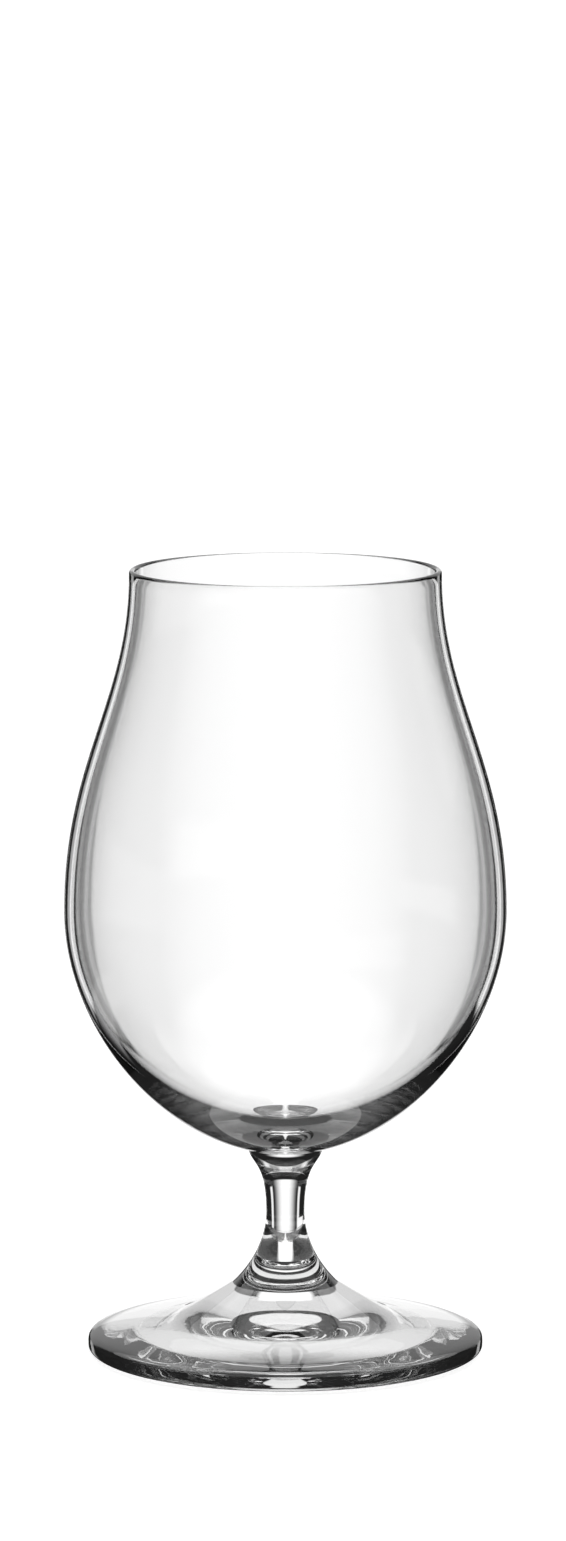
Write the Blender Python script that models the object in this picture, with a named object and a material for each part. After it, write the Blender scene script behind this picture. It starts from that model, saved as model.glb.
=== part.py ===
"""Tulip beer glass: a blown bowl, a drawn stem and a pressed foot, welded hot on one axis.

Lengths are metres and +Z is up. The origin is the middle of the plane that the foot stands on.
Each piece is a closed profile of (radius, height) points turned about the Z axis.
"""
import math

import bmesh
import bpy

# Driving dimensions of the whole glass
HEIGHT = 0.158
RIM_RADIUS = 0.031
BELLY_RADIUS = 0.0441
BELLY_HEIGHT = 0.0896
FOOT_RADIUS = 0.0396
WAIST_RADIUS = 0.00383
WAIST_HEIGHT = 0.0284

# Glass thickness of the bowl, which grows from the lip down to the floor
LIP_RADIUS = 0.0007
BELLY_WALL = 0.0021
FLOOR_HEIGHT = 0.0457

# Flat faces where the hot pieces are pressed together
BOWL_PAD_RADIUS = 0.00745
BOWL_PAD_HEIGHT = 0.0417
STEM_BASE_RADIUS = 0.0104
FOOT_BOSS_RADIUS = 0.0107
FOOT_BOSS_HEIGHT = 0.01405
WELD_GAP = 0.0003

# Foot: top slope, rounded edge, resting ring and the shallow dome under it
FOOT_SHOULDER = (0.0325, 0.0053)
FOOT_EDGE_HEIGHT = 0.0019
RING_OUTER_RADIUS = 0.034
RING_INNER_RADIUS = 0.029
DOME_HEIGHT = 0.005

# How far each curve leaves its ends before it bends, along the end's own direction
RIM_REACH = 0.0254
BELLY_RISE = 0.0303
BELLY_FALL = 0.0212
UNDERSIDE_REACH = (0.0205, 0.0048)
INNER_BELLY_LIFT = 0.0004
INNER_BELLY_FALL = 0.024
INNER_FLOOR_REACH = 0.0235
STEM_HEAD_REACH = (-0.0006, -0.0034)
WAIST_RISE = 0.0104
WAIST_FALL = 0.00184
STEM_BASE_REACH = (-0.0062, 0.0061)
FOOT_BOSS_REACH = (0.0125, -0.0079)
FOOT_SHOULDER_REACH = (0.0105, -0.0016)
FOOT_EDGE_REACH = (0.0072, -0.0011)
FOOT_EDGE_RISE = 0.0024
FOOT_EDGE_FALL = 0.0011
RING_REACH = 0.0045
DOME_EDGE_REACH = (-0.0075, 0.0013)
DOME_REACH = 0.015

# Facets
TURN_STEPS = 56
STEM_TURN_STEPS = 36
LONG_CURVE_STEPS = 11
SHORT_CURVE_STEPS = 6
LIP_STEPS = 5
MERGE_DISTANCE = 0.000001
SHARP_ANGLE = math.radians(35)

# Clear soda-lime glass
GLASS_COLOUR = (0.97, 0.985, 0.98, 1.0)
GLASS_ROUGHNESS = 0.01
GLASS_IOR = 1.52


def moved(point, radial=0.0, up=0.0):
    """The point shifted outwards by radial and upwards by up."""
    return (point[0] + radial, point[1] + up)


def bezier(start, start_handle, end_handle, end, steps):
    """Points of a cubic curve, without its start, so that curves can be chained."""
    points = []
    for step in range(1, steps + 1):
        t = step / steps
        weights = ((1 - t) ** 3, 3 * t * (1 - t) ** 2, 3 * t * t * (1 - t), t ** 3)
        corners = (start, start_handle, end_handle, end)
        radius = sum(w * corner[0] for w, corner in zip(weights, corners))
        height = sum(w * corner[1] for w, corner in zip(weights, corners))
        points.append((radius, height))
    return points


def lip(inner, outer, steps):
    """Half circle over the rim, from the inner wall to the outer one, without its start."""
    middle = (inner[0] + outer[0]) / 2
    radius = (outer[0] - inner[0]) / 2
    points = []
    for step in range(1, steps + 1):
        angle = math.pi * (1 - step / steps)
        points.append((middle + radius * math.cos(angle), inner[1] + radius * math.sin(angle)))
    return points


def bowl_profile():
    """Up the inside from the floor, over the lip, down the outside and in along the weld pad."""
    floor = (0.0, FLOOR_HEIGHT)
    inner_belly = (BELLY_RADIUS - BELLY_WALL, BELLY_HEIGHT + INNER_BELLY_LIFT)
    inner_lip = (RIM_RADIUS - 2 * LIP_RADIUS, HEIGHT - LIP_RADIUS)
    outer_lip = (RIM_RADIUS, HEIGHT - LIP_RADIUS)
    belly = (BELLY_RADIUS, BELLY_HEIGHT)
    pad_edge = (BOWL_PAD_RADIUS, BOWL_PAD_HEIGHT)

    points = [floor]
    points += bezier(floor, moved(floor, radial=INNER_FLOOR_REACH),
                     moved(inner_belly, up=-INNER_BELLY_FALL), inner_belly, LONG_CURVE_STEPS)
    points += bezier(inner_belly, moved(inner_belly, up=BELLY_RISE),
                     moved(inner_lip, up=-RIM_REACH), inner_lip, LONG_CURVE_STEPS)
    points += lip(inner_lip, outer_lip, LIP_STEPS)
    points += bezier(outer_lip, moved(outer_lip, up=-RIM_REACH),
                     moved(belly, up=BELLY_RISE), belly, LONG_CURVE_STEPS)
    points += bezier(belly, moved(belly, up=-BELLY_FALL),
                     moved(pad_edge, *UNDERSIDE_REACH), pad_edge, LONG_CURVE_STEPS)
    points.append((0.0, BOWL_PAD_HEIGHT))
    return points


def stem_profile():
    """From the flat head down the flared outside, past the waist, to the flat base."""
    head = (BOWL_PAD_RADIUS, BOWL_PAD_HEIGHT - WELD_GAP)
    waist = (WAIST_RADIUS, WAIST_HEIGHT)
    base = (STEM_BASE_RADIUS, FOOT_BOSS_HEIGHT + WELD_GAP)

    points = [(0.0, head[1]), head]
    points += bezier(head, moved(head, *STEM_HEAD_REACH),
                     moved(waist, up=WAIST_RISE), waist, LONG_CURVE_STEPS)
    points += bezier(waist, moved(waist, up=-WAIST_FALL),
                     moved(base, *STEM_BASE_REACH), base, LONG_CURVE_STEPS)
    points.append((0.0, base[1]))
    return points


def foot_profile():
    """From the boss down the sloping top, round the edge, over the ring and up into the dome."""
    boss = (FOOT_BOSS_RADIUS, FOOT_BOSS_HEIGHT)
    shoulder = FOOT_SHOULDER
    edge = (FOOT_RADIUS, FOOT_EDGE_HEIGHT)
    ring_outer = (RING_OUTER_RADIUS, 0.0)
    ring_inner = (RING_INNER_RADIUS, 0.0)
    dome = (0.0, DOME_HEIGHT)

    points = [(0.0, FOOT_BOSS_HEIGHT), boss]
    points += bezier(boss, moved(boss, *FOOT_BOSS_REACH),
                     (shoulder[0] - FOOT_SHOULDER_REACH[0], shoulder[1] - FOOT_SHOULDER_REACH[1]),
                     shoulder, LONG_CURVE_STEPS)
    points += bezier(shoulder, moved(shoulder, *FOOT_EDGE_REACH),
                     moved(edge, up=FOOT_EDGE_RISE), edge, SHORT_CURVE_STEPS)
    points += bezier(edge, moved(edge, up=-FOOT_EDGE_FALL),
                     moved(ring_outer, radial=RING_REACH), ring_outer, SHORT_CURVE_STEPS)
    points.append(ring_inner)
    points += bezier(ring_inner, moved(ring_inner, *DOME_EDGE_REACH),
                     moved(dome, radial=DOME_REACH), dome, LONG_CURVE_STEPS)
    return points


def glass(name):
    """Principled glass with the piece's own name."""
    material = bpy.data.materials.new(name)
    material.use_nodes = True
    shader = material.node_tree.nodes["Principled BSDF"]
    shader.inputs["Base Color"].default_value = GLASS_COLOUR
    shader.inputs["Roughness"].default_value = GLASS_ROUGHNESS
    shader.inputs["Metallic"].default_value = 0.0
    shader.inputs["IOR"].default_value = GLASS_IOR
    shader.inputs["Transmission Weight"].default_value = 1.0
    return material


def turned(name, profile, steps, parent):
    """A closed solid made by turning the profile a full turn about the Z axis."""
    shape = bmesh.new()
    corners = [shape.verts.new((radius, 0.0, height)) for radius, height in profile]
    edges = [shape.edges.new(pair) for pair in zip(corners, corners[1:])]
    bmesh.ops.spin(shape, geom=corners + edges, cent=(0, 0, 0), axis=(0, 0, 1),
                   angle=math.tau, steps=steps, use_merge=True)
    bmesh.ops.remove_doubles(shape, verts=shape.verts, dist=MERGE_DISTANCE)
    bmesh.ops.recalc_face_normals(shape, faces=shape.faces)
    mesh = bpy.data.meshes.new(name)
    shape.to_mesh(mesh)
    shape.free()
    mesh.shade_smooth()
    mesh.set_sharp_from_angle(angle=SHARP_ANGLE)
    mesh.materials.append(glass(name + "_glass"))
    piece = bpy.data.objects.new(name, mesh)
    piece.parent = parent
    bpy.context.scene.collection.objects.link(piece)
    return piece


def main():
    for old in list(bpy.data.objects):
        bpy.data.objects.remove(old)
    axis = bpy.data.objects.new("glass_axis", None)
    bpy.context.scene.collection.objects.link(axis)
    turned("bowl", bowl_profile(), TURN_STEPS, axis)
    turned("stem", stem_profile(), STEM_TURN_STEPS, axis)
    turned("foot", foot_profile(), TURN_STEPS, axis)


main()
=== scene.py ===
"""Tulip beer glass: the finished look of a clear stemmed glass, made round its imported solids.

The bowl, the stem and the foot are turned shapes. Each is a profile of curves, which a Geometry Nodes tree
turns about the Z axis, and they run into each other at two hot welds. Lengths are metres and +Z is up.
The origin is the middle of the plane that the foot stands on.
"""
import math

import bmesh
import bpy
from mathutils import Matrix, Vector


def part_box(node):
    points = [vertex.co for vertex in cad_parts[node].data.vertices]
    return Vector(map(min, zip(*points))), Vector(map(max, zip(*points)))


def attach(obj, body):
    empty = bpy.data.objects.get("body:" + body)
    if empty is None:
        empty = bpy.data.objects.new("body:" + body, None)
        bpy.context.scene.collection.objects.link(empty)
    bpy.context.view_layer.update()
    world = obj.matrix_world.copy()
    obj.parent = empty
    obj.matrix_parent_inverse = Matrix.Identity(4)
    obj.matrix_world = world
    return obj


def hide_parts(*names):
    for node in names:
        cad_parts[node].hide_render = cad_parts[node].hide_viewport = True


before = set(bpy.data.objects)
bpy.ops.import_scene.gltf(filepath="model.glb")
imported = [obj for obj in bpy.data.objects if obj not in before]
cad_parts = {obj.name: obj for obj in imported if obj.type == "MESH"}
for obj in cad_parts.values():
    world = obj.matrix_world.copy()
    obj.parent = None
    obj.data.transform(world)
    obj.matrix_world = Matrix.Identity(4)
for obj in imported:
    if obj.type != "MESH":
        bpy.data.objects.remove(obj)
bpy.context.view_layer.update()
BOWL_LOW, BOWL_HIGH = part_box("bowl")
STEM_LOW, STEM_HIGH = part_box("stem")
FOOT_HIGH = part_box("foot")[1]

bl_info = {
    "name": "Tulip Beer Glass",
    "version": (1, 0, 0),
    "blender": (4, 5, 0),
    "location": "View3D > Sidebar > Tulip Glass",
    "description": "Makes the bowl, stem and foot of a clear tulip beer glass, and a white studio for it",
    "category": "Object",
}

BODY = "root"
TREE_NAME = "Turned Glass"

# Fineness of the turned shapes
TURN_STEPS = 256
STEM_TURN_STEPS = 128
LONG_CURVE_STEPS = 44
SHORT_CURVE_STEPS = 16
LIP_STEPS = 14
DISC_STEPS = 6
MERGE_DISTANCE = 0.000001

# Gap that stays between two pieces at a weld, too thin to see
WELD_SLIT = 0.00001

# How far each curve leaves its ends before it bends, along the end's own direction
RIM_REACH = 0.0254
BELLY_RISE = 0.0303
BELLY_FALL = 0.0212
UNDERSIDE_REACH = (0.0205, 0.0048)
INNER_BELLY_LIFT = 0.0004
INNER_BELLY_FALL = 0.024
INNER_FLOOR_REACH = 0.0235
STEM_HEAD_REACH = (-0.0006, -0.0034)
WAIST_RISE = 0.0104
WAIST_FALL = 0.00184
STEM_BASE_REACH = (-0.0062, 0.0061)
FOOT_BOSS_REACH = (0.0125, -0.0079)
FOOT_SHOULDER_REACH = (-0.0105, 0.0016)
FOOT_EDGE_REACH = (0.0072, -0.0011)
FOOT_EDGE_RISE = 0.0024
FOOT_EDGE_FALL = 0.0011
RING_REACH = 0.0045
DOME_EDGE_REACH = (-0.0075, 0.0013)
DOME_REACH = 0.015

# Noise levels between which the polish goes from clear to dull
HAZE_EDGE = (0.5, 0.7)

# White sheets that the glass shows in a dark room. Which of them a ray shows depends on its path through the
# glass. Each has an azimuth from +Y towards +X, a half width, the blur of its sides and the heights where it
# ends, all in degrees, and a brightness. Where that is over 1, it makes up for what the glass reflects away.
SHEET_END_BLUR = 1
HALF_TURN = 180

# Behind the glass in three views from other sides, for light that isn't reflected. From a side that has no
# sheet behind it, the bowl shows the dark room.
SIDE_SHEETS = (
    (-45, 16, 3, -60, -18, 1.1),
    (-90, 15, 3, -30, 8, 1.1),
    (135, 16, 3, -50, -9, 1.1),
)
# Behind the glass in the front view, through both walls of the bowl
BOWL_SHEETS = (
    (0, 9.5, 1.2, -24, 9, 1.05),
    (0, 6, 6, -24, 9, 1.22),
    (0, 18, 2, -20, 9, 0.6),
    (0, 15.5, 10.5, -89, -22, 1.1),
    (-23.5, 6.5, 1.5, -20, 3, 1.05),
    (23.5, 6.5, 1.5, -20, 3, 1.05),
)
# Behind the glass in the front view, through one solid piece
STEM_SHEETS = (
    (0, 15.5, 10.5, -89, 9, 1.1),
    (-32, 3.5, 2, -40, 2, 1.0),
    (32, 3.5, 2, -40, 2, 1.0),
)
# For light that is reflected once and passes no weld, such as along the wall of the bowl
WALL_SHEETS = (
    (0, 9.5, 1.2, -24, 9, 1.05),
    (-27, 4, 1.5, -20, 3, 1.1),
    (27, 4, 1.5, -20, 3, 1.1),
    (0, 34, 8, 3, 30, 0.65),
    (0, 60, 15, 30, 89, 1.2),
)
# For light that is reflected once and also refracted, in the three views from other sides
EDGE_SHEETS = (
    (-45, 22, 8, -29, -20, 0.5),
    (-90, 22, 8, -9, 2, 0.5),
    (135, 22, 8, -21, -9, 0.5),
)
# For light that passes a weld and is reflected once
RING_SHEETS = ((0, 42, 8, 33, 89, 0.85),)
# For light that passes a weld and is reflected twice
DEEP_SHEETS = ((0, HALF_TURN, 1, 15, 70, 0.9),)

# Sines of the heights between which the light overhead comes up
TOP_EDGE = (math.sin(math.radians(34)), math.sin(math.radians(44)))

# Refractions of a ray that goes in and out of glass once, as through the stem, and twice, as through both
# walls of the bowl. Half a count parts one count from the next.
ONE_PASS = 2
TWO_PASSES = 4
HALF_COUNT = 0.5

# Most bounces that light may make
LIGHT_BOUNCES = 24

# Height of the floor, just under the ring of the foot
FLOOR_DROP = -0.0002

# Patch of floor that the glass shows, with a painted shadow in front: its glow comes up from painted shade
# between two places along Y
PAINTED_SHADOW_EDGE = (-0.031, -0.015)
PATCH_SHADE = 0.06

# Wedge of painted light on the patch, a painted highlight that shows as the bright core of the stem's flare.
# The half width is the one at the axis, and the exponential of the taper times Y narrows it towards the
# back.
WEDGE_HALF_WIDTH = 0.0036
WEDGE_TAPER = -65
WEDGE_EDGE = (-0.0005, 0.0005)
PAINTED_WEDGE_GLOW = 1.2

# Colour of the world, and the camera's sensor along the tall side of the picture in millimetres
WHITE = (1.0, 1.0, 1.0, 1.0)
SENSOR_SIZE = 36.0


class BowlSizes(bpy.types.PropertyGroup):
    """Sizes of the blown bowl."""

    rim_radius: bpy.props.FloatProperty(
        name="Rim Radius", description="Outer radius of the lip", default=0.031,
        subtype="DISTANCE", unit="LENGTH", precision=4)
    lip_radius: bpy.props.FloatProperty(
        name="Lip Radius", description="Radius of the rounding over the lip", default=0.0007,
        subtype="DISTANCE", unit="LENGTH", precision=5)
    height: bpy.props.FloatProperty(
        name="Rim Height", description="Height of the top of the lip", default=BOWL_HIGH.z,
        subtype="DISTANCE", unit="LENGTH", precision=4)
    belly_radius: bpy.props.FloatProperty(
        name="Belly Radius", description="Outer radius at the widest place", default=BOWL_HIGH.x,
        subtype="DISTANCE", unit="LENGTH", precision=4)
    belly_height: bpy.props.FloatProperty(
        name="Belly Height", description="Height of the widest place", default=0.0896,
        subtype="DISTANCE", unit="LENGTH", precision=4)
    belly_wall: bpy.props.FloatProperty(
        name="Belly Wall", description="Thickness of the glass at the belly", default=0.0021,
        subtype="DISTANCE", unit="LENGTH", precision=5)
    floor_height: bpy.props.FloatProperty(
        name="Floor Height", description="Height of the floor inside the bowl", default=0.0457,
        subtype="DISTANCE", unit="LENGTH", precision=4)


class StemSizes(bpy.types.PropertyGroup):
    """Sizes of the drawn stem and of its two welds."""

    head_radius: bpy.props.FloatProperty(
        name="Head Radius", description="Radius of the weld under the bowl", default=0.00745,
        subtype="DISTANCE", unit="LENGTH", precision=5)
    head_height: bpy.props.FloatProperty(
        name="Head Height", description="Height of the weld under the bowl",
        default=(BOWL_LOW.z + STEM_HIGH.z) / 2, subtype="DISTANCE", unit="LENGTH", precision=4)
    waist_radius: bpy.props.FloatProperty(
        name="Waist Radius", description="Radius at the thinnest place", default=0.00383,
        subtype="DISTANCE", unit="LENGTH", precision=5)
    waist_height: bpy.props.FloatProperty(
        name="Waist Height", description="Height of the thinnest place", default=0.0284,
        subtype="DISTANCE", unit="LENGTH", precision=4)
    base_radius: bpy.props.FloatProperty(
        name="Base Radius", description="Radius of the weld on the foot", default=0.0105,
        subtype="DISTANCE", unit="LENGTH", precision=5)
    base_height: bpy.props.FloatProperty(
        name="Base Height", description="Height of the weld on the foot",
        default=(STEM_LOW.z + FOOT_HIGH.z) / 2, subtype="DISTANCE", unit="LENGTH", precision=4)


class FootSizes(bpy.types.PropertyGroup):
    """Sizes of the pressed foot."""

    radius: bpy.props.FloatProperty(
        name="Foot Radius", description="Outer radius of the foot", default=FOOT_HIGH.x,
        subtype="DISTANCE", unit="LENGTH", precision=4)
    edge_height: bpy.props.FloatProperty(
        name="Edge Height", description="Height of the outermost line of the edge", default=0.0019,
        subtype="DISTANCE", unit="LENGTH", precision=5)
    shoulder_radius: bpy.props.FloatProperty(
        name="Shoulder Radius", description="Radius where the top turns over to the edge", default=0.0325,
        subtype="DISTANCE", unit="LENGTH", precision=4)
    shoulder_height: bpy.props.FloatProperty(
        name="Shoulder Height", description="Height where the top turns over to the edge", default=0.0053,
        subtype="DISTANCE", unit="LENGTH", precision=5)
    ring_outer_radius: bpy.props.FloatProperty(
        name="Ring Outer Radius", description="Outer radius of the flat ring it stands on", default=0.034,
        subtype="DISTANCE", unit="LENGTH", precision=4)
    ring_inner_radius: bpy.props.FloatProperty(
        name="Ring Inner Radius", description="Inner radius of the flat ring it stands on", default=0.029,
        subtype="DISTANCE", unit="LENGTH", precision=4)
    dome_height: bpy.props.FloatProperty(
        name="Dome Height", description="Height of the dome under the foot", default=0.005,
        subtype="DISTANCE", unit="LENGTH", precision=5)


class GlassFinish(bpy.types.PropertyGroup):
    """Finish of the clear glass."""

    tint: bpy.props.FloatVectorProperty(
        name="Tint", description="Colour that each pass through a surface leaves", size=3,
        default=(0.99, 0.99, 0.99), min=0.0, max=1.0, subtype="COLOR")
    ior: bpy.props.FloatProperty(
        name="Refractive Index", description="Refractive index of soda-lime glass", default=1.52, min=1.0)
    haze: bpy.props.FloatProperty(
        name="Haze", description="Roughness of the dullest spots of the polish", default=0.012,
        min=0.0, max=1.0, subtype="FACTOR", precision=3)
    haze_scale: bpy.props.FloatProperty(
        name="Haze Scale", description="Dull spots to the metre", default=90.0, min=0.0)
    wave_scale: bpy.props.FloatProperty(
        name="Wave Scale", description="Waves of the surface to the metre", default=140.0, min=0.0)
    blown_waves: bpy.props.FloatProperty(
        name="Blown Waves", description="Depth of the waves in the blown bowl", default=0.000004,
        min=0.0, subtype="DISTANCE", unit="LENGTH", precision=6)
    worked_waves: bpy.props.FloatProperty(
        name="Worked Waves", description="Depth of the waves in the drawn stem and the pressed foot",
        default=0.00003, min=0.0, subtype="DISTANCE", unit="LENGTH", precision=6)


class StudioLook(bpy.types.PropertyGroup):
    """Floor, light and camera of the white studio."""

    floor_radius: bpy.props.FloatProperty(
        name="Floor Radius", description="Radius of the round floor", default=0.45,
        subtype="DISTANCE", unit="LENGTH")
    patch_radius: bpy.props.FloatProperty(
        name="Patch Radius", description="Radius of the patch of floor that shows through the foot",
        default=0.036, subtype="DISTANCE", unit="LENGTH")
    floor_colour: bpy.props.FloatVectorProperty(
        name="Floor Colour", description="Colour of the plain floor", size=3,
        default=(0.9, 0.9, 0.9), min=0.0, max=1.0, subtype="COLOR")
    floor_glow: bpy.props.FloatProperty(
        name="Floor Glow", description="Light of the floor itself, to which its lit colour is added",
        default=0.75, min=0.0, max=1.0, subtype="FACTOR")
    room_level: bpy.props.FloatProperty(
        name="Room Level", description="Brightness of the dark room that glass shows", default=0.015,
        min=0.0, max=1.0, subtype="FACTOR", precision=3)
    top_level: bpy.props.FloatProperty(
        name="Top Level", description="Brightness of the soft light overhead", default=0.9,
        min=0.0, max=1.0, subtype="FACTOR")
    camera_place: bpy.props.FloatVectorProperty(
        name="Camera Place", description="Where the camera stands", size=3,
        default=(0.0, -1.40467, 0.31498), subtype="TRANSLATION", unit="LENGTH")
    camera_aim: bpy.props.FloatVectorProperty(
        name="Camera Aim", description="Point in the middle of the picture", size=3,
        default=(-0.00048, 0.0, 0.11774), subtype="TRANSLATION", unit="LENGTH")
    lens: bpy.props.FloatProperty(
        name="Lens", description="Focal length on a sensor 36 mm tall", default=166.89,
        subtype="DISTANCE_CAMERA", unit="CAMERA")


class TulipGlass(bpy.types.PropertyGroup):
    """Everything that can be changed on the glass and its studio."""

    bowl: bpy.props.PointerProperty(type=BowlSizes)
    stem: bpy.props.PointerProperty(type=StemSizes)
    foot: bpy.props.PointerProperty(type=FootSizes)
    finish: bpy.props.PointerProperty(type=GlassFinish)
    studio: bpy.props.PointerProperty(type=StudioLook)


# Profiles

def moved(point, radial=0.0, up=0.0):
    """The point shifted outwards by radial and upwards by up."""
    return (point[0] + radial, point[1] + up)


def bezier(start, start_handle, end_handle, end, steps):
    """Points of a cubic curve, without its start, so that curves can be chained."""
    points = []
    for step in range(1, steps + 1):
        t = step / steps
        weights = ((1 - t) ** 3, 3 * t * (1 - t) ** 2, 3 * t * t * (1 - t), t ** 3)
        corners = (start, start_handle, end_handle, end)
        radius = sum(w * corner[0] for w, corner in zip(weights, corners))
        height = sum(w * corner[1] for w, corner in zip(weights, corners))
        points.append((radius, height))
    return points


def straight(start, end, steps):
    """Points of a straight line, without its start."""
    return [(start[0] + (end[0] - start[0]) * step / steps, start[1] + (end[1] - start[1]) * step / steps)
            for step in range(1, steps + 1)]


def lip(inner, outer, steps):
    """Half circle over the rim, from the inner wall to the outer one, without its start."""
    middle = (inner[0] + outer[0]) / 2
    radius = (outer[0] - inner[0]) / 2
    points = []
    for step in range(1, steps + 1):
        angle = math.pi * (1 - step / steps)
        points.append((middle + radius * math.cos(angle), inner[1] + radius * math.sin(angle)))
    return points


def bowl_profile(bowl, stem):
    """Up the inside from the floor, over the lip, down the outside and in along the weld."""
    floor = (0.0, bowl.floor_height)
    inner_belly = (bowl.belly_radius - bowl.belly_wall, bowl.belly_height + INNER_BELLY_LIFT)
    inner_lip = (bowl.rim_radius - 2 * bowl.lip_radius, bowl.height - bowl.lip_radius)
    outer_lip = (bowl.rim_radius, bowl.height - bowl.lip_radius)
    belly = (bowl.belly_radius, bowl.belly_height)
    weld_edge = (stem.head_radius, stem.head_height + WELD_SLIT / 2)

    glass = [floor]
    glass += bezier(floor, moved(floor, radial=INNER_FLOOR_REACH), moved(inner_belly, up=-INNER_BELLY_FALL),
                    inner_belly, LONG_CURVE_STEPS)
    glass += bezier(inner_belly, moved(inner_belly, up=BELLY_RISE), moved(inner_lip, up=-RIM_REACH),
                    inner_lip, LONG_CURVE_STEPS)
    glass += lip(inner_lip, outer_lip, LIP_STEPS)
    glass += bezier(outer_lip, moved(outer_lip, up=-RIM_REACH), moved(belly, up=BELLY_RISE),
                    belly, LONG_CURVE_STEPS)
    glass += bezier(belly, moved(belly, up=-BELLY_FALL), moved(weld_edge, *UNDERSIDE_REACH),
                    weld_edge, LONG_CURVE_STEPS)
    weld = straight(weld_edge, (0.0, weld_edge[1]), DISC_STEPS)
    return [], glass, weld


def stem_profile(stem):
    """From the flat head down the flared outside, past the waist, to the flat base."""
    head = (stem.head_radius, stem.head_height - WELD_SLIT / 2)
    waist = (stem.waist_radius, stem.waist_height)
    base = (stem.base_radius, stem.base_height + WELD_SLIT / 2)

    head_weld = [(0.0, head[1])] + straight((0.0, head[1]), head, DISC_STEPS)
    glass = bezier(head, moved(head, *STEM_HEAD_REACH), moved(waist, up=WAIST_RISE),
                   waist, LONG_CURVE_STEPS)
    glass += bezier(waist, moved(waist, up=-WAIST_FALL), moved(base, *STEM_BASE_REACH),
                    base, LONG_CURVE_STEPS)
    base_weld = straight(base, (0.0, base[1]), DISC_STEPS)
    return head_weld, glass, base_weld


def foot_profile(foot, stem):
    """From the boss down the sloping top, round the edge, over the ring and up into the dome."""
    boss = (stem.base_radius, stem.base_height - WELD_SLIT / 2)
    shoulder = (foot.shoulder_radius, foot.shoulder_height)
    edge = (foot.radius, foot.edge_height)
    ring_outer = (foot.ring_outer_radius, 0.0)
    ring_inner = (foot.ring_inner_radius, 0.0)
    dome = (0.0, foot.dome_height)

    weld = [(0.0, boss[1])] + straight((0.0, boss[1]), boss, DISC_STEPS)
    glass = bezier(boss, moved(boss, *FOOT_BOSS_REACH), moved(shoulder, *FOOT_SHOULDER_REACH),
                   shoulder, LONG_CURVE_STEPS)
    glass += bezier(shoulder, moved(shoulder, *FOOT_EDGE_REACH), moved(edge, up=FOOT_EDGE_RISE),
                    edge, SHORT_CURVE_STEPS)
    glass += bezier(edge, moved(edge, up=-FOOT_EDGE_FALL), moved(ring_outer, radial=RING_REACH),
                    ring_outer, SHORT_CURVE_STEPS)
    glass += straight(ring_outer, ring_inner, DISC_STEPS)
    glass += bezier(ring_inner, moved(ring_inner, *DOME_EDGE_REACH), moved(dome, radial=DOME_REACH),
                    dome, LONG_CURVE_STEPS)
    return weld, glass, []


# Turning a profile into glass

def add_node(tree, kind, inputs=None, **settings):
    """A node with its settings. An input is linked where a socket is given, and set where a value is."""
    node = tree.nodes.new(kind)
    for name, value in settings.items():
        setattr(node, name, value)
    for key, value in (inputs or {}).items():
        if isinstance(value, bpy.types.NodeSocket):
            tree.links.new(value, node.inputs[key])
        else:
            node.inputs[key].default_value = value
    return node


def add_math(tree, operation, first, second=0.0, third=0.0):
    """Output of a Math node."""
    given = {0: first, 1: second, 2: third}
    return add_node(tree, "ShaderNodeMath", given, operation=operation).outputs[0]


def add_slope(tree, value, start, end):
    """Output that rises smoothly from 0 at the start to 1 at the end, or falls where the end is lower."""
    low, high = min(start, end), max(start, end)
    given = {"Value": value, "From Min": low, "From Max": high,
             "To Min": float(start > end), "To Max": float(end > start)}
    return add_node(tree, "ShaderNodeMapRange", given, interpolation_type="SMOOTHSTEP").outputs[0]


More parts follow.
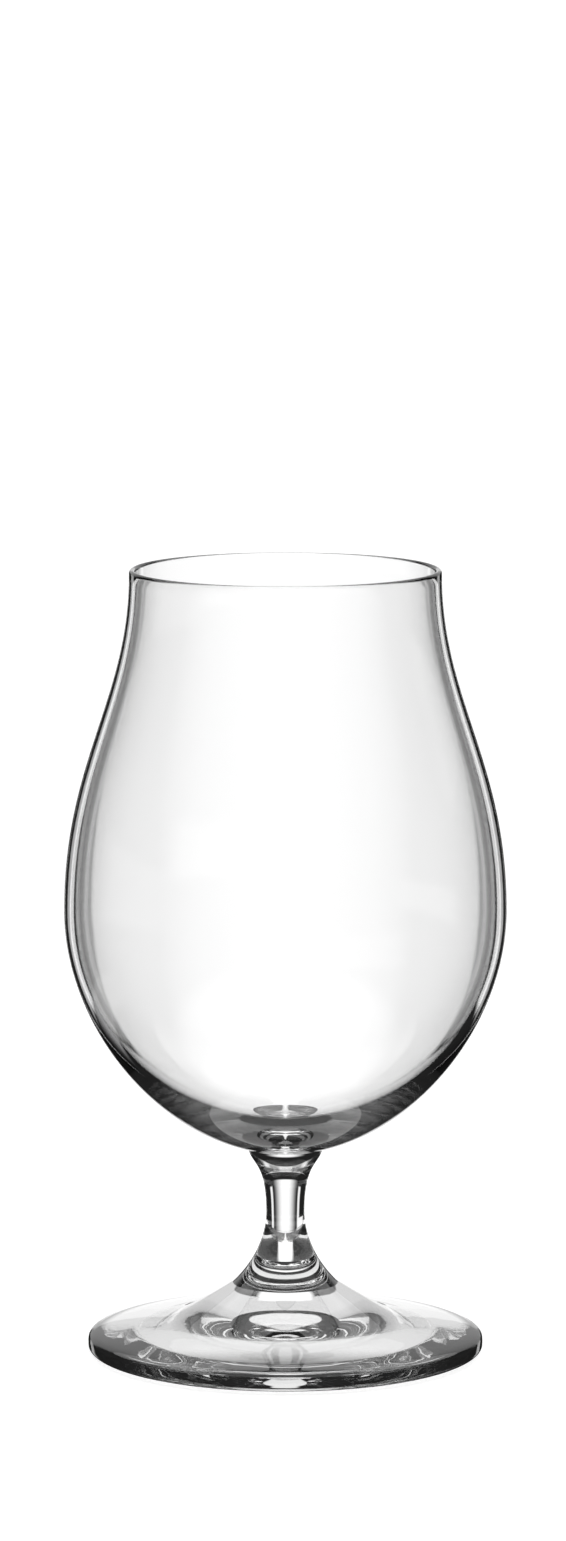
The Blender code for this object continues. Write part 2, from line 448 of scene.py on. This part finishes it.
def turned_tree():
    """Geometry Nodes tree that turns a profile's points a full turn about the Z axis."""
    tree = bpy.data.node_groups.get(TREE_NAME)
    if tree is not None:
        return tree
    tree = bpy.data.node_groups.new(TREE_NAME, "GeometryNodeTree")
    for name, kind in (("Profile", "NodeSocketGeometry"), ("Turn Steps", "NodeSocketInt"),
                       ("Glass", "NodeSocketMaterial"), ("Weld", "NodeSocketMaterial")):
        tree.interface.new_socket(name, in_out="INPUT", socket_type=kind)
    tree.interface.new_socket("Turned", in_out="OUTPUT", socket_type="NodeSocketGeometry")
    given = add_node(tree, "NodeGroupInput").outputs

    size = add_node(tree, "GeometryNodeAttributeDomainSize", {0: given["Profile"]}, component="MESH")
    rows = size.outputs["Point Count"]
    strips = add_math(tree, "SUBTRACT", rows, 1.0)
    columns = add_math(tree, "ADD", given["Turn Steps"], 1.0)
    grid = add_node(tree, "GeometryNodeMeshGrid", {
        "Size X": strips, "Size Y": given["Turn Steps"], "Vertices X": rows, "Vertices Y": columns})

    place = add_node(tree, "GeometryNodeInputPosition").outputs[0]
    along = add_node(tree, "ShaderNodeSeparateXYZ", {0: place}).outputs
    count = add_math(tree, "ADD", along["X"], add_math(tree, "MULTIPLY", strips, 0.5))
    row = add_math(tree, "ROUND", count)
    strip = add_math(tree, "FLOOR", count)
    step_angle = add_math(tree, "DIVIDE", math.tau, given["Turn Steps"])
    angle = add_math(tree, "MULTIPLY", along["Y"], step_angle)

    profile_place = add_node(tree, "GeometryNodeInputPosition").outputs[0]
    point = add_node(tree, "GeometryNodeSampleIndex", {
        "Geometry": given["Profile"], "Value": profile_place, "Index": row}, data_type="FLOAT_VECTOR")
    turned = add_node(tree, "ShaderNodeVectorRotate", {"Vector": point.outputs[0], "Angle": angle},
                      rotation_type="Z_AXIS")
    is_weld = add_node(tree, "GeometryNodeInputNamedAttribute", {"Name": "weld"}, data_type="FLOAT")
    weld = add_node(tree, "GeometryNodeSampleIndex", {
        "Geometry": given["Profile"], "Value": is_weld.outputs[0], "Index": strip}, data_type="FLOAT")

    kept = add_node(tree, "GeometryNodeCaptureAttribute", domain="FACE")
    kept.capture_items.new("FLOAT", "Weld")
    tree.links.new(grid.outputs["Mesh"], kept.inputs["Geometry"])
    tree.links.new(weld.outputs[0], kept.inputs["Weld"])
    shaped = add_node(tree, "GeometryNodeSetPosition", {
        "Geometry": kept.outputs["Geometry"], "Position": turned.outputs[0]})
    closed = add_node(tree, "GeometryNodeMergeByDistance", {
        "Geometry": shaped.outputs[0], "Distance": MERGE_DISTANCE})
    smooth = add_node(tree, "GeometryNodeSetShadeSmooth", {"Geometry": closed.outputs[0]})
    real = add_node(tree, "GeometryNodeRealizeInstances", {"Geometry": smooth.outputs[0]})
    clear = add_node(tree, "GeometryNodeSetMaterial", {
        "Geometry": real.outputs[0], "Material": given["Glass"]})
    joined = add_node(tree, "GeometryNodeSetMaterial", {
        "Geometry": clear.outputs[0], "Selection": kept.outputs["Weld"], "Material": given["Weld"]})
    add_node(tree, "NodeGroupOutput", {0: joined.outputs[0]})
    return tree


def profile_object(name, first_weld, glass, last_weld):
    """Object whose mesh is the profile, with an attribute that marks the strips of its welds."""
    points = first_weld + glass + last_weld
    mesh = bpy.data.meshes.new(name)
    mesh.from_pydata([(radius, 0.0, height) for radius, height in points],
                     [(index, index + 1) for index in range(len(points) - 1)], [])
    marks = mesh.attributes.new("weld", "FLOAT", "POINT")
    last_glass = len(first_weld) + len(glass) - 1
    for index, mark in enumerate(marks.data):
        mark.value = float(index < len(first_weld) - 1 or index >= last_glass)
    piece = bpy.data.objects.new(name, mesh)
    bpy.context.scene.collection.objects.link(piece)
    return piece


def turned_piece(name, node, profile, turn_steps, waves):
    """Turns the profile into a plain closed mesh that stands for a solid of the frame."""
    piece = profile_object(name, *profile)
    tree = turned_tree()
    inputs = {item.name: item.identifier for item in tree.interface.items_tree if item.in_out == "INPUT"}
    finish = bpy.context.scene.tulip_glass.finish
    turning = piece.modifiers.new("Turning", "NODES")
    turning.node_group = tree
    turning[inputs["Turn Steps"]] = turn_steps
    turning[inputs["Glass"]] = clear_glass(node + "_glass", finish, waves)
    turning[inputs["Weld"]] = weld_join()

    depsgraph = bpy.context.evaluated_depsgraph_get()
    mesh = bpy.data.meshes.new_from_object(piece.evaluated_get(depsgraph), depsgraph=depsgraph)
    mesh.name = name
    piece.modifiers.remove(turning)
    piece.data = mesh
    finish_edges(mesh)
    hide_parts(node)
    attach(piece, BODY)


def finish_edges(mesh):
    """Turns the faces outwards and keeps the edge round each weld crisp."""
    shape = bmesh.new()
    shape.from_mesh(mesh)
    bmesh.ops.recalc_face_normals(shape, faces=shape.faces)
    for edge in shape.edges:
        if len(edge.link_faces) != 2:
            raise RuntimeError(mesh.name + " isn't closed")
        first, second = edge.link_faces
        edge.smooth = first.material_index == second.material_index
    shape.to_mesh(mesh)
    shape.free()


# Materials

def clear_glass(name, finish, waves):
    """Clear fire-polished glass with a faintly wavy surface and a few duller spots."""
    material = bpy.data.materials.get("look_" + name)
    if material is not None:
        return material
    material = bpy.data.materials.new("look_" + name)
    material.use_nodes = True
    tree = material.node_tree
    place = add_node(tree, "ShaderNodeTexCoord").outputs["Object"]
    spots = add_node(tree, "ShaderNodeTexNoise", {"Vector": place, "Scale": finish.haze_scale}).outputs[0]
    spots = add_slope(tree, spots, *HAZE_EDGE)
    swell = add_node(tree, "ShaderNodeTexNoise", {"Vector": place, "Scale": finish.wave_scale}).outputs[0]
    surface = add_node(tree, "ShaderNodeBump", {"Height": swell, "Distance": waves}).outputs[0]
    shader = tree.nodes["Principled BSDF"]
    tree.links.new(add_math(tree, "MULTIPLY", spots, finish.haze), shader.inputs["Roughness"])
    tree.links.new(surface, shader.inputs["Normal"])
    shader.inputs["Base Color"].default_value = (*finish.tint, 1.0)
    shader.inputs["IOR"].default_value = finish.ior
    shader.inputs["Transmission Weight"].default_value = 1.0
    return material


def weld_join():
    """The inside of a weld, where the glass of two pieces has run together and nothing shows."""
    material = bpy.data.materials.get("look_weld_join")
    if material is not None:
        return material
    material = bpy.data.materials.new("look_weld_join")
    material.use_nodes = True
    tree = material.node_tree
    tree.nodes.clear()
    clear = add_node(tree, "ShaderNodeBsdfTransparent")
    add_node(tree, "ShaderNodeOutputMaterial", {"Surface": clear.outputs[0]})
    return material


# Studio

def flat_disc(name, radius, height):
    """Flat disc about the axis of the glass."""
    shape = bmesh.new()
    bmesh.ops.create_circle(shape, cap_ends=True, segments=TURN_STEPS, radius=radius)
    mesh = bpy.data.meshes.new(name)
    shape.to_mesh(mesh)
    shape.free()
    disc = bpy.data.objects.new(name, mesh)
    disc.location.z = height
    bpy.context.scene.collection.objects.link(disc)
    return disc


def floor_paint(name, studio):
    """Plain pale paint that glows, so that the shadow on it stays soft."""
    material = bpy.data.materials.new(name)
    material.use_nodes = True
    tree = material.node_tree
    tree.nodes.clear()
    lit = add_node(tree, "ShaderNodeBsdfDiffuse", {"Color": (*studio.floor_colour, 1.0)})
    glow = add_node(tree, "ShaderNodeEmission", {"Strength": studio.floor_glow})
    both = add_node(tree, "ShaderNodeAddShader", {0: lit.outputs[0], 1: glow.outputs[0]})
    add_node(tree, "ShaderNodeOutputMaterial", {"Surface": both.outputs[0]})
    return material


def patch_paint(name, studio):
    """Glow of the floor under the foot, with a painted shadow that dims it in front.

    Light that passed a weld, or was refracted four times, sees only a painted wedge of light on it, a
    painted highlight.
    """
    material = bpy.data.materials.new(name)
    material.use_nodes = True
    tree = material.node_tree
    tree.nodes.clear()
    place = add_node(tree, "ShaderNodeTexCoord").outputs["Object"]
    x, y, _ = add_node(tree, "ShaderNodeSeparateXYZ", {0: place}).outputs
    # Painted shadow: the glow is dim in front of the foot and comes up towards the back
    plain = add_math(tree, "MULTIPLY", add_slope(tree, y, *PAINTED_SHADOW_EDGE), studio.floor_glow)
    plain = add_math(tree, "ADD", plain, PATCH_SHADE)
    # Painted highlight: a wedge of light along the axis, seen only by light that passed a weld or was
    # refracted four times
    side = add_math(tree, "EXPONENT", add_math(tree, "MULTIPLY", y, WEDGE_TAPER))
    side = add_math(tree, "MULTIPLY", side, WEDGE_HALF_WIDTH)
    inside = add_math(tree, "SUBTRACT", side, add_math(tree, "ABSOLUTE", x))
    wedge = add_math(tree, "MULTIPLY_ADD", add_slope(tree, inside, *WEDGE_EDGE), PAINTED_WEDGE_GLOW, PATCH_SHADE)
    paths = add_node(tree, "ShaderNodeLightPath").outputs
    crossed = add_math(tree, "GREATER_THAN", paths["Transparent Depth"], HALF_COUNT)
    twice_through = add_math(tree, "COMPARE", paths["Transmission Depth"], TWO_PASSES, HALF_COUNT)
    through = add_math(tree, "MAXIMUM", crossed, twice_through)
    glow = add_node(tree, "ShaderNodeMix", {"Factor": through, "A": plain, "B": wedge}).outputs[0]
    light = add_node(tree, "ShaderNodeEmission", {"Strength": glow})
    add_node(tree, "ShaderNodeOutputMaterial", {"Surface": light.outputs[0]})
    return material


def make_floor(studio):
    """The floor that the camera sees, and the patch under the foot that the glass shows in its place."""
    floor = flat_disc("studio_floor", studio.floor_radius, FLOOR_DROP)
    floor.data.materials.append(floor_paint("look_studio_floor", studio))
    floor.visible_glossy = False
    floor.visible_transmission = False
    patch = flat_disc("floor_patch", studio.patch_radius, FLOOR_DROP / 2)
    patch.data.materials.append(patch_paint("look_floor_patch", studio))
    patch.visible_camera = False
    patch.visible_diffuse = False
    patch.visible_shadow = False


def add_sheets(tree, sheets, azimuth, height):
    """Brightness of the sheets in a direction."""
    level = 0.0
    for middle, half, blur, bottom, top, brightness in sheets:
        away = add_math(tree, "WRAP", add_math(tree, "SUBTRACT", azimuth, middle), HALF_TURN, -HALF_TURN)
        across = add_slope(tree, add_math(tree, "ABSOLUTE", away), half + blur, half - blur)
        above_bottom = add_slope(tree, height, bottom - SHEET_END_BLUR, bottom + SHEET_END_BLUR)
        below_top = add_slope(tree, height, top + SHEET_END_BLUR, top - SHEET_END_BLUR)
        upright = add_math(tree, "MULTIPLY", above_bottom, below_top)
        sheet = add_math(tree, "MULTIPLY", across, add_math(tree, "MULTIPLY", upright, brightness))
        level = add_math(tree, "MAXIMUM", sheet, level)
    return level


def make_world(studio):
    """White to the camera, while glass shows a dark room, white sheets in it and a light overhead.

    The sheets that a ray sees depend on how often it was reflected and refracted, and on whether it passed a
    weld. A difference of two conditions shows nothing where it is below zero.
    """
    world = bpy.data.worlds.new("studio_world")
    world.use_nodes = True
    tree = world.node_tree
    tree.nodes.clear()
    heading = add_node(tree, "ShaderNodeTexCoord").outputs["Generated"]
    x, y, z = add_node(tree, "ShaderNodeSeparateXYZ", {0: heading}).outputs
    azimuth = add_math(tree, "DEGREES", add_math(tree, "ARCTAN2", x, y))
    height = add_math(tree, "DEGREES", add_math(tree, "ARCSINE", z))
    paths = add_node(tree, "ShaderNodeLightPath").outputs
    in_piece = add_math(tree, "LESS_THAN", paths["Transparent Depth"], HALF_COUNT)
    unreflected = add_math(tree, "LESS_THAN", paths["Glossy Depth"], HALF_COUNT)
    once = add_math(tree, "COMPARE", paths["Glossy Depth"], 1, HALF_COUNT)
    twice = add_math(tree, "COMPARE", paths["Glossy Depth"], 2, HALF_COUNT)
    refracted = add_math(tree, "GREATER_THAN", paths["Transmission Depth"], HALF_COUNT)
    two_walls = add_math(tree, "GREATER_THAN", paths["Transmission Depth"], ONE_PASS + HALF_COUNT)
    sheets = 0.0
    for group, shown in (
        (SIDE_SHEETS, unreflected),
        (BOWL_SHEETS, add_math(tree, "MULTIPLY", unreflected, two_walls)),
        (STEM_SHEETS, add_math(tree, "SUBTRACT", unreflected, two_walls)),
        (WALL_SHEETS, add_math(tree, "MULTIPLY", once, in_piece)),
        (EDGE_SHEETS, add_math(tree, "MULTIPLY", once, refracted)),
        (RING_SHEETS, add_math(tree, "SUBTRACT", once, in_piece)),
        (DEEP_SHEETS, add_math(tree, "SUBTRACT", twice, in_piece)),
    ):
        part = add_math(tree, "MULTIPLY", add_sheets(tree, group, azimuth, height), shown)
        sheets = add_math(tree, "MAXIMUM", sheets, part)
    above = add_math(tree, "MULTIPLY", add_slope(tree, z, *TOP_EDGE), in_piece)
    level = add_math(tree, "ADD", sheets, studio.room_level)
    level = add_math(tree, "MULTIPLY_ADD", above, studio.top_level, level)
    level = add_math(tree, "MAXIMUM", level, paths["Is Camera Ray"])
    white = add_node(tree, "ShaderNodeBackground", {"Color": WHITE, "Strength": level})
    add_node(tree, "ShaderNodeOutputWorld", {"Surface": white.outputs[0]})
    bpy.context.scene.world = world


def make_camera(studio):
    """Camera at the height and distance of the photograph."""
    lens = bpy.data.cameras.new("studio_camera")
    lens.lens = studio.lens
    lens.sensor_width = SENSOR_SIZE
    camera = bpy.data.objects.new("studio_camera", lens)
    place = Vector(studio.camera_place)
    camera.location = place
    camera.rotation_euler = (Vector(studio.camera_aim) - place).to_track_quat("-Z", "Y").to_euler()
    bpy.context.scene.collection.objects.link(camera)
    bpy.context.scene.camera = camera


# Operators and panel

class TULIP_GLASS_OT_bowl(bpy.types.Operator):
    """Make the blown bowl"""

    bl_idname = "tulip_glass.make_bowl"
    bl_label = "Make Bowl"

    def execute(self, context):
        glass = context.scene.tulip_glass
        turned_piece("blown_bowl", "bowl", bowl_profile(glass.bowl, glass.stem), TURN_STEPS,
                     glass.finish.blown_waves)
        return {"FINISHED"}


class TULIP_GLASS_OT_stem(bpy.types.Operator):
    """Make the drawn stem"""

    bl_idname = "tulip_glass.make_stem"
    bl_label = "Make Stem"

    def execute(self, context):
        glass = context.scene.tulip_glass
        turned_piece("drawn_stem", "stem", stem_profile(glass.stem), STEM_TURN_STEPS,
                     glass.finish.worked_waves)
        return {"FINISHED"}


class TULIP_GLASS_OT_foot(bpy.types.Operator):
    """Make the pressed foot"""

    bl_idname = "tulip_glass.make_foot"
    bl_label = "Make Foot"

    def execute(self, context):
        glass = context.scene.tulip_glass
        turned_piece("pressed_foot", "foot", foot_profile(glass.foot, glass.stem), TURN_STEPS,
                     glass.finish.worked_waves)
        return {"FINISHED"}


class TULIP_GLASS_OT_stage(bpy.types.Operator):
    """Make the floor, the light and the camera"""

    bl_idname = "tulip_glass.make_stage"
    bl_label = "Make Stage"

    def execute(self, context):
        studio = context.scene.tulip_glass.studio
        make_floor(studio)
        make_world(studio)
        make_camera(studio)
        context.scene.view_settings.view_transform = "Standard"
        light_paths = context.scene.cycles
        light_paths.max_bounces = LIGHT_BOUNCES
        light_paths.glossy_bounces = LIGHT_BOUNCES
        light_paths.transmission_bounces = LIGHT_BOUNCES
        light_paths.transparent_max_bounces = LIGHT_BOUNCES
        return {"FINISHED"}


class TULIP_GLASS_PT_panel(bpy.types.Panel):
    """Sizes and buttons of the tulip glass"""

    bl_idname = "TULIP_GLASS_PT_panel"
    bl_label = "Tulip Glass"
    bl_space_type = "VIEW_3D"
    bl_region_type = "UI"
    bl_category = "Tulip Glass"

    def draw(self, context):
        glass = context.scene.tulip_glass
        for group, operator in ((glass.finish, None), (glass.bowl, TULIP_GLASS_OT_bowl),
                                (glass.stem, TULIP_GLASS_OT_stem), (glass.foot, TULIP_GLASS_OT_foot),
                                (glass.studio, TULIP_GLASS_OT_stage)):
            box = self.layout.box()
            for name in group.bl_rna.properties.keys():
                if name not in ("rna_type", "name"):
                    box.prop(group, name)
            if operator is not None:
                box.operator(operator.bl_idname)


CLASSES = (
    BowlSizes, StemSizes, FootSizes, GlassFinish, StudioLook, TulipGlass,
    TULIP_GLASS_OT_bowl, TULIP_GLASS_OT_stem, TULIP_GLASS_OT_foot, TULIP_GLASS_OT_stage,
    TULIP_GLASS_PT_panel,
)


def register():
    """Makes the classes known, and puts the sizes on the scene."""
    for item in CLASSES:
        bpy.utils.register_class(item)
    bpy.types.Scene.tulip_glass = bpy.props.PointerProperty(type=TulipGlass)


def unregister():
    """Takes the sizes and the classes away again."""
    del bpy.types.Scene.tulip_glass
    for item in reversed(CLASSES):
        bpy.utils.unregister_class(item)


def main():
    """Makes the whole glass and its studio."""
    register()
    bpy.ops.tulip_glass.make_bowl()
    bpy.ops.tulip_glass.make_stem()
    bpy.ops.tulip_glass.make_foot()
    bpy.ops.tulip_glass.make_stage()


if __name__ == "__main__":
    main()
